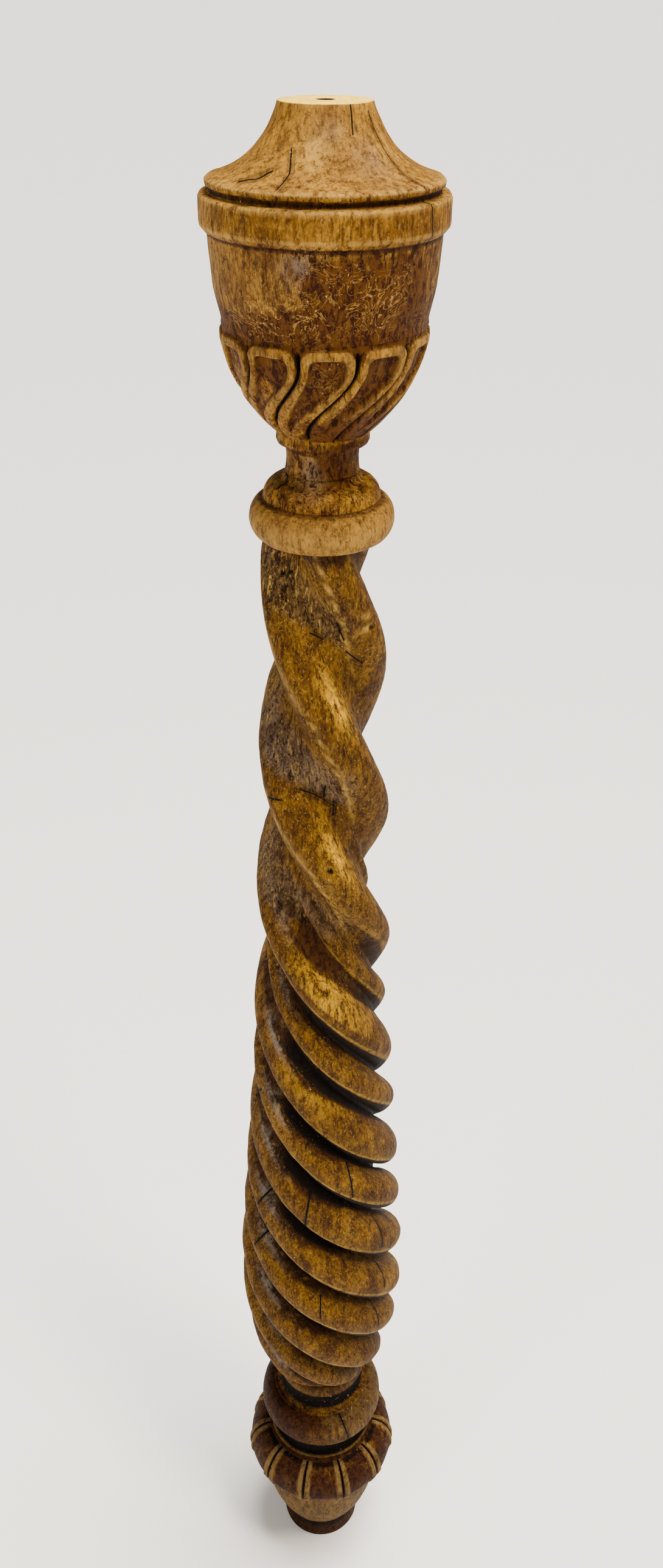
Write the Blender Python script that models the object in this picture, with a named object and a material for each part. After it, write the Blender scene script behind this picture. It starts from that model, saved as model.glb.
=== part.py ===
"""Carved wooden column in one piece: a gadrooned urn on a twisted shaft, over a gadrooned bulb and a foot.

The column stands on its flat underside at the origin, with +Z up and its front towards -Y. It is one
closed skin of rings. Each stretch of the column works out its own rings from the floor up, and the skin
joins every ring to the next. A ring is a list of points (angle, radius, height): the angle is in degrees
from the front, towards +X, and lengths are in metres.
"""

import math

import bmesh
import bpy

# Whole column
HEIGHT = 1.300
PLAIN_SIDES = 24
NECK_SIDES = 20
BAND_SIDES = 32
LEDGE = 0.0008
SAME_TURN = 30.0
LEAN = -0.0015
LEAN_HEIGHT = 1.0800
LEAN_REACH = 0.0600

# Foot and bowl
FOOT_RADIUS = 0.0362
FOOT_EDGE = 0.0012
FOOT_WAIST_RADIUS = 0.0335
FOOT_WAIST_HEIGHT = 0.0240
BOWL_RADIUS = 0.0381
BOWL_HEIGHT = 0.0274
BOWL_SWELL = 0.0040

# Gadrooned bulb
GADROONS = 11
GADROON_START = -14.4
BULB_FOOT_RADIUS = 0.0552
BULB_FOOT_HEIGHT = 0.0970
BULB_RADIUS = 0.0702
BULB_HEIGHT = 0.1215
BULB_SWELL = 0.0018
BULB_TOP_RADIUS = 0.0510
BULB_TOP_HEIGHT = 0.1510
BULB_STEP = 0.0008
BULB_CUT_DEPTH = 0.0035
BULB_PANEL_DEPTH = 0.0014
BULB_FILLET_SHARE = 0.20
BULB_COLUMNS = (0.0, 0.05, 0.18, 0.50, 0.82, 0.95)

# Fillet, lower ring and bead between bulb and shaft
LOW_FILLET_RADIUS = 0.0476
LOW_FILLET_HEIGHT = 0.1530
LOW_FILLET_THICKNESS = 0.0035
LOW_GROOVE_RADIUS = 0.0410
LOW_GROOVE_HEIGHT = 0.1655
LOW_RING_RADIUS = 0.0559
LOW_RING_HEIGHT = 0.1920
LOW_RING_FOOT_HEIGHT = 0.1770
LOW_RING_LIP_RADIUS = 0.0435
LOW_RING_LIP_HEIGHT = 0.2145
BEAD_RADIUS = 0.0394
BEAD_HEIGHT = 0.2400
BEAD_HALF_THICKNESS = 0.0075
BEAD_NECK_RADIUS = 0.0345
BEAD_NECK_HEIGHT = 0.2255

# Twisted shaft
SHAFT_FOOT = 0.2500
SHAFT_TOP = 1.0620
SHAFT_RINGS = 43
STRANDS = 3
TWIST_START = -5.0
TWIST_PITCH_TOP = 0.356
TWIST_PITCH_FOOT = 0.302
CREST_RADII = (
    (0.250, 0.0385),
    (0.272, 0.0535),
    (0.320, 0.0658),
    (0.385, 0.0700),
    (0.500, 0.0640),
    (0.620, 0.0555),
    (0.740, 0.0503),
    (0.860, 0.0461),
    (0.960, 0.0420),
    (1.062, 0.0385),
)
GROOVE_RADII = (
    (0.250, 0.0345),
    (0.320, 0.0480),
    (0.440, 0.0435),
    (0.540, 0.0425),
    (0.680, 0.0390),
    (0.740, 0.0345),
    (0.800, 0.0290),
    (0.860, 0.0277),
    (0.920, 0.0252),
    (0.990, 0.0222),
    (1.062, 0.0200),
)
UPPER_SHARES = (
    (0.250, 0.20),
    (0.372, 0.22),
    (0.475, 0.275),
    (0.580, 0.325),
    (0.690, 0.335),
    (0.880, 0.46),
    (1.062, 0.46),
)
LOWER_SHARES = (
    (0.250, 0.28),
    (0.400, 0.27),
    (0.500, 0.24),
    (0.690, 0.27),
    (0.880, 0.46),
    (1.062, 0.46),
)
SECOND_CREST = 0.48
FLANK_FOOT = 0.92
FLANK_STEPS = (0.0, 0.30, 0.62, FLANK_FOOT, 1.0)
SECOND_STRAND_BARE = 0.880
SECOND_STRAND_FULL = 0.590
BLUNT_FROM = 0.820
BLUNT_FULLY = 0.500
SOFT_LEAD = 6.6
UPPER_POWER_TOP = 1.42
UPPER_POWER_FOOT = 0.45
LOWER_POWER_TOP = 1.30
LOWER_POWER_FOOT = 0.32

# Upper ring, neck and collar
RING_CORE_RADIUS = 0.0346
RING_RADIUS = 0.0446
RING_HEIGHT = 1.0725
RING_HALF_THICKNESS = 0.0120
RING_TURNS = (-80.0, -50.0, -17.0, 17.0, 50.0, 80.0)
FILLET_FOOT_RADIUS = 0.0363
FILLET_RADIUS = 0.0357
FILLET_HEIGHT = 1.0862
SHOULDER_RADIUS = 0.0259
SHOULDER_HEIGHT = 1.0966
NECK_RADIUS = 0.0217
NECK_HEIGHT = 1.1110
NECK_TOP_RADIUS = 0.0225
COLLAR_RADIUS = 0.0279
COLLAR_FOOT_HEIGHT = 1.1195
COLLAR_TOP_HEIGHT = 1.1265

# Gadrooned urn
URN_FOOT_RADIUS = 0.0285
URN_HIP_RADIUS = 0.0600
URN_HIP_HEIGHT = 1.1800
URN_SWELL = 0.0052
URN_WALL_FOOT_RADIUS = 0.0583
URN_WALL_FOOT_HEIGHT = 1.1865
URN_WALL_TOP_RADIUS = 0.0650
URN_WALL_SWELL = 0.0010
LOOP_TOP_HEIGHT = 1.1850
LOOP_GROOVE_DEPTH = 0.0036
POCKET_DEPTH = 0.0026
POCKET_TOP_HEIGHT = 1.1790
POCKET_FOOT_HEIGHT = 1.1430
LOOP_FILLET_SHARE = 0.30
LOOP_COLUMNS = (0.0, 0.09, 0.26, 0.36, 0.64, 0.74, 0.91)
LOOP_SWEEP = 36.0
LOOP_SWEEP_TOP = 1.1740
LOOP_SWEEP_LENGTH = 0.0500

# Band, rim and cap
BAND_FOOT_HEIGHT = 1.2371
BAND_FOOT_RADIUS = 0.0658
BAND_CHAMFER_HEIGHT = 1.2407
BAND_RADIUS = 0.0693
BAND_TOP_HEIGHT = 1.2555
RIM_GROOVE_RADIUS = 0.0625
RIM_FOOT_HEIGHT = 1.2600
RIM_RADIUS = 0.0653
RIM_TOP_HEIGHT = 1.2630
CAP_FOOT_RADIUS = 0.0625
CAP_HOLLOW = 0.0074
TOP_RADIUS = 0.0256
TOP_HOLE_RADIUS = 0.0038
TOP_HOLE_DEPTH = 0.0120
TOP_HOLE_SIDES = 12

# Finish
WOOD_COLOUR = (0.23, 0.13, 0.05, 1.0)
WOOD_ROUGHNESS = 0.6
SHARP_FROM = 35.0


def ease(share):
    """A smooth step from 0 to 1."""
    share = min(max(share, 0.0), 1.0)
    return share * share * (3.0 - 2.0 * share)


def through(stations, height):
    """The radius at a height, on a smooth curve through (height, radius) stations listed from the floor up."""
    height = min(max(height, stations[0][0]), stations[-1][0])
    lower = max(i for i in range(len(stations) - 1) if stations[i][0] <= height)
    slopes = []
    for i in range(len(stations)):
        before, after = stations[max(i - 1, 0)], stations[min(i + 1, len(stations) - 1)]
        slopes.append((after[1] - before[1]) / (after[0] - before[0]))
    (h0, r0), (h1, r1) = stations[lower], stations[lower + 1]
    span = h1 - h0
    t = (height - h0) / span
    return (
        r0 * (1 + 2 * t) * (1 - t) ** 2
        + slopes[lower] * span * t * (1 - t) ** 2
        + r1 * t * t * (3 - 2 * t)
        + slopes[lower + 1] * span * t * t * (t - 1)
    )


def bowed(start, end, swell, steps):
    """Profile points after start, up to end, on a shallow arc that stands swell clear of the straight line."""
    (r0, h0), (r1, h1) = start, end
    length = math.hypot(r1 - r0, h1 - h0)
    out_r, out_h = (h1 - h0) / length, -(r1 - r0) / length
    points = []
    for step in range(1, steps + 1):
        t = step / steps
        stand = 4.0 * t * (1.0 - t) * swell
        points.append((r0 + (r1 - r0) * t + out_r * stand, h0 + (h1 - h0) * t + out_h * stand))
    return points


def quarter(start, end, steps, upright_first):
    """Profile points after start, up to end, on a quarter of an ellipse.

    It leaves start upright and reaches end level, or the other way round.
    """
    (r0, h0), (r1, h1) = start, end
    points = []
    for step in range(1, steps + 1):
        turn = math.radians(90.0 * step / steps)
        rise, run = math.sin(turn), 1.0 - math.cos(turn)
        if not upright_first:
            rise, run = run, rise
        points.append((r0 + (r1 - r0) * run, h0 + (h1 - h0) * rise))
    return points


def turned(profile, sides=PLAIN_SIDES):
    """Plain rings, as a lathe leaves them, one for each (radius, height) of the profile."""
    angles = [360.0 * i / sides for i in range(sides)]
    return [[(angle, radius, height) for angle in angles] for radius, height in profile]


def foot_and_bowl():
    """The flat underside, the waisted foot and the plain bowl over it."""
    profile = [(FOOT_RADIUS - FOOT_EDGE, 0.0), (FOOT_RADIUS, FOOT_EDGE)]
    profile += quarter(profile[-1], (FOOT_WAIST_RADIUS, FOOT_WAIST_HEIGHT), 3, True)
    bowl_lip = (BOWL_RADIUS, BOWL_HEIGHT)
    profile.append(bowl_lip)
    profile += bowed(bowl_lip, (BULB_FOOT_RADIUS, BULB_FOOT_HEIGHT), BOWL_SWELL, 4)
    return turned(profile)


def bulb_relief(share):
    """How far the bulb's surface stands off its turned form, at a share of the way between two cuts."""
    from_cut = min(share, 1.0 - share)
    if from_cut == 0.0:
        return -BULB_CUT_DEPTH
    if from_cut > BULB_FILLET_SHARE:
        return -BULB_PANEL_DEPTH
    return 0.0


def bulb():
    """Straight gadroons: a cut between two raised fillets, then a sunken panel."""
    foot = (BULB_FOOT_RADIUS + BULB_STEP, BULB_FOOT_HEIGHT + BULB_STEP)
    widest = (BULB_RADIUS, BULB_HEIGHT)
    profile = [foot] + bowed(foot, widest, BULB_SWELL, 3)
    profile += quarter(widest, (BULB_TOP_RADIUS, BULB_TOP_HEIGHT), 5, True)
    rings = []
    for step, (radius, height) in enumerate(profile):
        depth = 0.0 if step == 0 else 1.0
        ring = []
        for gadroon in range(GADROONS):
            for share in BULB_COLUMNS:
                angle = GADROON_START + (gadroon + share) * 360.0 / GADROONS
                ring.append((angle, radius + depth * bulb_relief(share), height))
        rings.append(ring)
    return rings


def low_ring():
    """The fillet over the bulb, a deep groove, the lower ring with its lip, and the bead under the shaft."""
    fillet = (LOW_FILLET_RADIUS, LOW_FILLET_HEIGHT)
    groove = (LOW_GROOVE_RADIUS, LOW_GROOVE_HEIGHT)
    widest = (LOW_RING_RADIUS, LOW_RING_HEIGHT)
    lip = (LOW_RING_LIP_RADIUS, LOW_RING_LIP_HEIGHT)
    bead_foot = (BEAD_NECK_RADIUS, BEAD_HEIGHT - BEAD_HALF_THICKNESS)
    bead = (BEAD_RADIUS, BEAD_HEIGHT)
    profile = [fillet, (LOW_FILLET_RADIUS, LOW_FILLET_HEIGHT + LOW_FILLET_THICKNESS)]
    profile += quarter(profile[-1], groove, 2, False)
    profile.append((LOW_GROOVE_RADIUS, LOW_RING_FOOT_HEIGHT))
    profile += quarter(profile[-1], widest, 3, False)
    profile += quarter(widest, lip, 4, True)
    profile += [(BEAD_NECK_RADIUS, BEAD_NECK_HEIGHT), bead_foot, bead]
    profile.append((BEAD_NECK_RADIUS, BEAD_HEIGHT + BEAD_HALF_THICKNESS))
    return turned(profile)


def twist_angle(height):
    """Where the first main strand's crest is: the pitch eases evenly from its top value to its foot value."""
    down = SHAFT_TOP - height
    rate_top = 360.0 / TWIST_PITCH_TOP
    rate_foot = 360.0 / TWIST_PITCH_FOOT
    return TWIST_START + rate_top * down + (rate_foot - rate_top) * down**2 / (2.0 * (SHAFT_TOP - SHAFT_FOOT))


def strand_height(share, power):
    """The height of a flank, from its crest at share 0 down to the groove's floor at share FLANK_FOOT."""
    if share >= FLANK_FOOT:
        return 0.0
    return math.cos(math.radians(90.0 * share / FLANK_FOOT)) ** power


def shaft_section(height):
    """One ring of the shaft: each main strand, then the second strand that grows in the hollow after it."""
    crest = through(CREST_RADII, height)
    groove = through(GROOVE_RADII, height)
    grown = ease((SECOND_STRAND_BARE - height) / (SECOND_STRAND_BARE - SECOND_STRAND_FULL))
    blunting = ease((BLUNT_FROM - height) / (BLUNT_FROM - BLUNT_FULLY))
    upper_power = UPPER_POWER_TOP + (UPPER_POWER_FOOT - UPPER_POWER_TOP) * blunting
    lower_power = LOWER_POWER_TOP + (LOWER_POWER_FOOT - LOWER_POWER_TOP) * blunting
    gap_start = through(UPPER_SHARES, height)
    gap_end = 1.0 - through(LOWER_SHARES, height)
    second = gap_start + SECOND_CREST * (gap_end - gap_start)
    marks = (0.0, gap_start, second, gap_end, 1.0)
    heights = (1.0, 0.0, grown, 0.0, 1.0)
    section = []
    for part in range(4):
        falling = heights[part] > heights[part + 1] or part % 2 == 0
        top = heights[part] if falling else heights[part + 1]
        flank_power = upper_power if part % 2 == 0 else lower_power
        for column in range(len(FLANK_STEPS) - 1):
            t = FLANK_STEPS[column] if falling else 1.0 - FLANK_STEPS[-1 - column]
            along = t if falling else 1.0 - t
            share = marks[part] + (marks[part + 1] - marks[part]) * t
            stand = top * strand_height(along, flank_power)
            section.append((share, groove + (crest - groove) * stand))
    turn = twist_angle(height) + SOFT_LEAD * (1.0 - blunting)
    step = 360.0 / STRANDS
    return [(turn + (strand + share) * step, radius, height) for strand in range(STRANDS) for share, radius in section]


def shaft():
    """Rings whose points keep to the strands, so that crests and grooves run true."""
    rings = []
    for i in range(SHAFT_RINGS):
        t = i / (SHAFT_RINGS - 1)
        rings.append(shaft_section(SHAFT_FOOT + (SHAFT_TOP - SHAFT_FOOT) * t))
    return rings


def ring_and_neck():
    """The rounded ring over the shaft, its fillet, the shoulder, the neck and the collar under the urn."""
    profile = []
    for turn in RING_TURNS:
        turn = math.radians(turn)
        radius = RING_CORE_RADIUS + (RING_RADIUS - RING_CORE_RADIUS) * math.cos(turn)
        profile.append((radius, RING_HEIGHT + RING_HALF_THICKNESS * math.sin(turn)))
    fillet = (FILLET_RADIUS, FILLET_HEIGHT)
    shoulder = (SHOULDER_RADIUS, SHOULDER_HEIGHT)
    neck = (NECK_RADIUS, NECK_HEIGHT)
    profile += [(FILLET_FOOT_RADIUS, RING_HEIGHT + RING_HALF_THICKNESS), fillet]
    profile += quarter(fillet, shoulder, 2, True)
    profile += quarter(shoulder, neck, 2, False)
    profile += [(NECK_TOP_RADIUS, COLLAR_FOOT_HEIGHT - LEDGE), (COLLAR_RADIUS, COLLAR_FOOT_HEIGHT)]
    profile.append((COLLAR_RADIUS, COLLAR_TOP_HEIGHT))
    return turned(profile, NECK_SIDES)


def loop_relief(share, height):
    """How far the urn's gadroon stands off the turned form.

    Each gadroon is a raised loop round a sunken pocket, and a groove parts it from the next one.
    """
    from_groove = min(share, 1.0 - share)
    if from_groove == 0.0:
        return -LOOP_GROOVE_DEPTH
    if from_groove > LOOP_FILLET_SHARE and POCKET_FOOT_HEIGHT < height < POCKET_TOP_HEIGHT:
        return -POCKET_DEPTH
    return 0.0


def urn_gadroons():
    """Loops that start upright under the urn's wall, then sweep round to the collar."""
    collar = (URN_FOOT_RADIUS, COLLAR_TOP_HEIGHT)
    hip = (URN_HIP_RADIUS, URN_HIP_HEIGHT)
    loop_top = (URN_HIP_RADIUS, LOOP_TOP_HEIGHT)
    wall_foot = (URN_WALL_FOOT_RADIUS, URN_WALL_FOOT_HEIGHT)
    profile = [collar] + bowed(collar, hip, URN_SWELL, 8) + [loop_top, wall_foot]
    rings = []
    for radius, height in profile:
        sweep = -LOOP_SWEEP * ease((LOOP_SWEEP_TOP - height) / LOOP_SWEEP_LENGTH)
        carved = COLLAR_TOP_HEIGHT < height < URN_WALL_FOOT_HEIGHT
        ring = []
        for gadroon in range(GADROONS):
            for share in LOOP_COLUMNS:
                angle = GADROON_START + sweep + (gadroon + share) * 360.0 / GADROONS
                relief = loop_relief(share, height) if carved else 0.0
                ring.append((angle, radius + relief, height))
        rings.append(ring)
    return rings


def wall_band_and_cap():
    """The urn's plain wall, its square band, the thin rim and the hollow cap up to the sawn top."""
    wall_foot = (URN_WALL_FOOT_RADIUS, URN_WALL_FOOT_HEIGHT + LEDGE)
    wall_top = (URN_WALL_TOP_RADIUS, BAND_FOOT_HEIGHT - LEDGE)
    profile = [wall_foot] + bowed(wall_foot, wall_top, URN_WALL_SWELL, 2)
    profile += [
        (BAND_FOOT_RADIUS, BAND_FOOT_HEIGHT),
        (BAND_RADIUS, BAND_CHAMFER_HEIGHT),
        (BAND_RADIUS, BAND_TOP_HEIGHT),
        (RIM_GROOVE_RADIUS, BAND_TOP_HEIGHT + LEDGE),
        (RIM_GROOVE_RADIUS, RIM_FOOT_HEIGHT - LEDGE),
        (RIM_RADIUS, RIM_FOOT_HEIGHT),
        (RIM_RADIUS, RIM_TOP_HEIGHT - LEDGE),
    ]
    cap_foot = (CAP_FOOT_RADIUS, RIM_TOP_HEIGHT)
    profile.append(cap_foot)
    profile += bowed(cap_foot, (TOP_RADIUS, HEIGHT), -CAP_HOLLOW, 6)
    return turned(profile, BAND_SIDES)


def top_hole():
    """The small blind hole in the middle of the sawn top."""
    return turned([(TOP_HOLE_RADIUS, HEIGHT), (TOP_HOLE_RADIUS, HEIGHT - TOP_HOLE_DEPTH)], TOP_HOLE_SIDES)


def same_columns(lower, upper):
    """Whether two rings have their points one over the other, or nearly so."""
    if len(lower) != len(upper):
        return False
    shift = (upper[0][0] - lower[0][0] + 180.0) % 360.0 - 180.0
    return abs(shift) < SAME_TURN


def lean(height):
    """How far the axis of the column stands off true at a height: only the neck and the ring below it do."""
    return LEAN * math.exp(-(((height - LEAN_HEIGHT) / LEAN_REACH) ** 2))


def zip_faces(lower, upper):
    """Faces between two rings, as (ring, point) corners, walking round both in order of angle."""
    if same_columns(lower, upper):
        count = len(lower)
        faces = []
        for i in range(count):
            after = (i + 1) % count
            faces.append([(0, i), (0, after), (1, after), (1, i)])
        return faces
    start = lower[0][0]
    offsets = [(point[0] - start + 180.0) % 360.0 - 180.0 for point in upper]
    first = min(range(len(upper)), key=lambda i: abs(offsets[i]))
    low_turns = [point[0] - start for point in lower] + [360.0]
    high_turns = []
    for i in range(len(upper) + 1):
        turn = offsets[(first + i) % len(upper)]
        while high_turns and turn <= high_turns[-1]:
            turn += 360.0
        high_turns.append(turn)
    faces = []
    i = j = 0
    while i < len(lower) or j < len(upper):
        low_corner = (0, i % len(lower))
        high_corner = (1, (first + j) % len(upper))
        low_next = low_turns[i + 1] if i < len(lower) else math.inf
        high_next = high_turns[j + 1] if j < len(upper) else math.inf
        if low_next <= high_next:
            i += 1
            faces.append([low_corner, (0, i % len(lower)), high_corner])
        else:
            j += 1
            faces.append([low_corner, (1, (first + j) % len(upper)), high_corner])
    return faces


def skin(rings):
    """A closed mesh over the rings, with a flat face on the first and the last."""
    bm = bmesh.new()
    loops = []
    for ring in rings:
        loop = []
        for angle, radius, height in ring:
            turn = math.radians(angle)
            across = radius * math.sin(turn) + lean(height)
            loop.append(bm.verts.new((across, -radius * math.cos(turn), height)))
        loops.append(loop)
    for i in range(len(rings) - 1):
        pair = (loops[i], loops[i + 1])
        for corners in zip_faces(rings[i], rings[i + 1]):
            bm.faces.new([pair[ring][point] for ring, point in corners])
    bm.faces.new(loops[0])
    bm.faces.new(loops[-1])
    bmesh.ops.recalc_face_normals(bm, faces=bm.faces)
    mesh = bpy.data.meshes.new("column")
    bm.to_mesh(mesh)
    bm.free()
    return mesh


def weathered_wood():
    """Old brown wood, dull from handling."""
    material = bpy.data.materials.new("weathered_wood")
    material.use_nodes = True
    shader = material.node_tree.nodes["Principled BSDF"]
    shader.inputs["Base Color"].default_value = WOOD_COLOUR
    shader.inputs["Roughness"].default_value = WOOD_ROUGHNESS
    shader.inputs["Metallic"].default_value = 0.0
    return material


def main():
    for obj in list(bpy.data.objects):
        bpy.data.objects.remove(obj, do_unlink=True)
    rings = foot_and_bowl() + bulb() + low_ring() + shaft() + ring_and_neck()
    rings += urn_gadroons() + wall_band_and_cap() + top_hole()
    mesh = skin(rings)
    mesh.shade_smooth()
    mesh.set_sharp_from_angle(angle=math.radians(SHARP_FROM))
    mesh.materials.append(weathered_wood())
    bpy.context.scene.collection.objects.link(bpy.data.objects.new("column", mesh))


main()
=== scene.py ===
"""An old wooden column, turned and carved from one length of timber: urn, twisted shaft, bulb and foot.

The column stands on the origin with +Z up and its front towards -Y. Lengths are in metres. Its skin is
worked out on grids of rings and columns: an angle is in degrees from the front, towards +X.
"""

import math

import bpy
import mathutils
import numpy as np
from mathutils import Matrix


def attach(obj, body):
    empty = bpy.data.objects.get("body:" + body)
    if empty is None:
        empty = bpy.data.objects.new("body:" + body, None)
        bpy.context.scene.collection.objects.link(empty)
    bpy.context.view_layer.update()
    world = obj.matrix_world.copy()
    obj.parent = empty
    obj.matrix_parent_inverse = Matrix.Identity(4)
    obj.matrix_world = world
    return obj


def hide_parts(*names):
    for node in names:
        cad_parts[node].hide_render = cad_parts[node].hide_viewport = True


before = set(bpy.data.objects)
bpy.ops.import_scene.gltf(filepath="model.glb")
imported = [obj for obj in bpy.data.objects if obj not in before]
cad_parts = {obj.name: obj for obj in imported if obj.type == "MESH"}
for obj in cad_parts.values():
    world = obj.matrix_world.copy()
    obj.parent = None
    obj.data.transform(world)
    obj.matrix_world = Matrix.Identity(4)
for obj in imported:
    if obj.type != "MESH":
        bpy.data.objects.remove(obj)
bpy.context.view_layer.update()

# The foot, the bowl and the gadrooned bulb, with the fillet, the lower ring and the bead over them.
# They are the bottom end of the timber: turned on a lathe, then the gadroons cut with a veiner and a gouge.
# The wood is stained dark and red here, and the undercuts are painted black: dirt, with painted shade.

LEAN, LEAN_HEIGHT, LEAN_REACH = -0.0015, 1.0800, 0.0600
GADROONS = 11
GADROON_START = -14.4
SPACING = 0.0011
MARKS = (
    "stain_and_shade", "wear", "black", "dust_and_sheen", "gold_and_light", "sawn",
    "chiselled", "scratched", "crack", "crack_side", "rubbed",
)


def eased(share):
    """A smooth step: three times the square of the share, less twice its cube."""
    share = np.clip(share, 0.0, 1.0)
    return share * share * (3.0 - 2.0 * share)


def tent(value, middle, reach):
    """From 1 at the middle down to 0 at the reach on either side, by a smooth step."""
    return eased(1.0 - np.abs(value - middle) / reach)


def bell(value, middle, width):
    """A bell curve: e to the power of minus the square of the distance from the middle, in widths."""
    return np.exp(-(((value - middle) / width) ** 2))


def belt(value, low, high, fade_in, fade_out):
    """1 between low and high, 0 outside: a smooth step up over fade_in from low, times a smooth step down
    over fade_out to high."""
    return eased((value - low) / fade_in) * eased((high - value) / fade_out)


def facing(angle):
    """The same angle, brought to between -180 and 180 degrees from the front."""
    return (angle + 180.0) % 360.0 - 180.0


def straight(start, end, spacing=SPACING):
    """Points after start, up to end, evenly along the straight line between them."""
    start, end = np.array(start), np.array(end)
    count = max(int(round(np.hypot(*(end - start)) / spacing)), 1)
    return start + (end - start) * np.linspace(0.0, 1.0, count + 1)[1:, None]


def bowed(start, end, swell, spacing=SPACING):
    """Points after start on a shallow arc: the straight line, plus the swell times 4 t (1 - t), square to the
    line, where t runs from 0 to 1."""
    start, end = np.array(start), np.array(end)
    along = end - start
    length = np.hypot(*along)
    t = np.linspace(0.0, 1.0, max(int(round(length / spacing)), 2) + 1)[1:, None]
    out = np.array([along[1], -along[0]]) / length
    return start + along * t + out * 4.0 * t * (1.0 - t) * swell


def quarter(start, end, upright_first, spacing=SPACING):
    """Points after start on a quarter of an ellipse: the height goes as the sine of a turn, the radius as one
    less its cosine, or the other way round where the arc leaves start level."""
    start, end = np.array(start), np.array(end)
    count = max(int(round(1.1 * np.hypot(*(end - start)) / spacing)), 3)
    turn = 0.5 * np.pi * np.linspace(0.0, 1.0, count + 1)[1:]
    rise, run = np.sin(turn), 1.0 - np.cos(turn)
    if not upright_first:
        rise, run = run, rise
    return start + (end - start) * np.stack([run, rise], axis=1)


def profile_normals(profile):
    """The outward direction at each point of a profile: its slope, turned by a quarter turn."""
    slope = np.gradient(profile, axis=0)
    slope /= np.hypot(slope[:, 0], slope[:, 1])[:, None]
    return np.stack([slope[:, 1], -slope[:, 0]], axis=1)


def on_grid(radius, angle, height):
    """Points in space from radius, angle and height: x = r sin a and y = -r cos a. The axis leans a little
    by the neck, as a bell curve of the height."""
    turn = np.radians(angle)
    lean = LEAN * bell(height, LEAN_HEIGHT, LEAN_REACH)
    across, back, up = np.broadcast_arrays(radius * np.sin(turn) + lean, -radius * np.cos(turn), height)
    return np.stack([across, back, up], axis=-1)


def unevenness(points, size, seed):
    """Smooth random heights from -1 to 1: random values on the corners of a lattice of cubes, blended inside
    each cube with a smooth step along X, Y and Z. A corner finds its value in a table by its three counts,
    each times a stride."""
    table_length, strides = 4099, np.array([73, 1459, 2917])
    cells = points / size
    low = np.floor(cells).astype(np.int64)
    part = eased(cells - low)
    values = np.random.default_rng(seed).uniform(-1.0, 1.0, table_length)
    total = np.zeros(points.shape[:-1])
    for corner in np.ndindex(2, 2, 2):
        key = ((low + np.array(corner)) * strides).sum(axis=-1) % table_length
        weight = np.prod(np.where(np.array(corner) == 1, part, 1.0 - part), axis=-1)
        total += weight * values[key]
    return total


CRACK_REACH, CRACK_FADE = 0.0035, 0.0028
CRACK_SIDE = 4.0


def crack_marks(angle, height, radius, cracks):
    """For each grid point, its side of the nearest crack and its nearness to it.

    A crack is a broken line of (angle, height) stations on the unrolled surface, with a half width. The side
    is the distance square to the line, in half widths, with a sign. The nearness falls by a smooth step from
    1 on the line to 0 at the crack's reach from it or from its ends.
    """
    side, near, best = (np.full(height.shape, value) for value in (CRACK_SIDE, 0.0, 1.0))
    turn = np.radians(1.0) * radius
    for line, half_width in cracks:
        for (a0, h0), (a1, h1) in zip(line[:-1], line[1:]):
            px, dx = facing(angle - a0) * turn, facing(a1 - a0) * turn
            py, dy = height - h0, h1 - h0
            t = np.clip((px * dx + py * dy) / (dx * dx + dy * dy), 0.0, 1.0)
            apart = np.hypot(px - t * dx, py - t * dy)
            square = (px * dy - py * dx) / np.hypot(dx, dy)
            side = np.where(apart < best, np.clip(square / half_width, -CRACK_SIDE, CRACK_SIDE), side)
            best = np.minimum(best, apart)
            near = np.maximum(near, eased((CRACK_REACH - apart) / CRACK_FADE))
    return side, near


def carved_skin(name, points, marks):
    """A closed mesh over rings of points: four-sided faces between rings, and one face over each end ring.

    marks holds one value for each point under each name, for the finish to read. A mark that a piece leaves
    out is 0 all over it.
    """
    rings, columns = points.shape[:2]
    index = np.arange(rings * columns).reshape(rings, columns)
    after = np.roll(index, -1, axis=1)
    quads = np.stack([index[:-1], after[:-1], after[1:], index[1:]], axis=-1).reshape(-1, 4)
    faces = quads.tolist() + [index[0, ::-1].tolist(), index[-1].tolist()]
    mesh = bpy.data.meshes.new(name)
    mesh.from_pydata(points.reshape(-1, 3).tolist(), [], faces)
    for mark in MARKS:
        layer = mesh.attributes.new(mark, "FLOAT", "POINT")
        values = np.broadcast_to(marks.get(mark, 0.0), (rings, columns))
        layer.data.foreach_set("value", values.astype(np.float32).ravel())
    mesh.shade_smooth()
    mesh.update()
    piece = bpy.data.objects.new(name, mesh)
    bpy.context.scene.collection.objects.link(piece)
    return piece


OLD_GILT, GREY_DUST = (0.42, 0.175, 0.008), (0.125, 0.090, 0.066)
NEW_WOOD, NEW_WOOD_GRAIN = (0.95, 0.66, 0.085), (0.74, 0.44, 0.045)
PALE_SPECK, CHISEL_SHADE = (0.50, 0.34, 0.17), (0.0130, 0.0062, 0.0028)
BLACK_DIRT_AND_SHADE, CRACK_BLACK = (0.0025, 0.0015, 0.0010), (0.0015, 0.0010, 0.0008)


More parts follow.
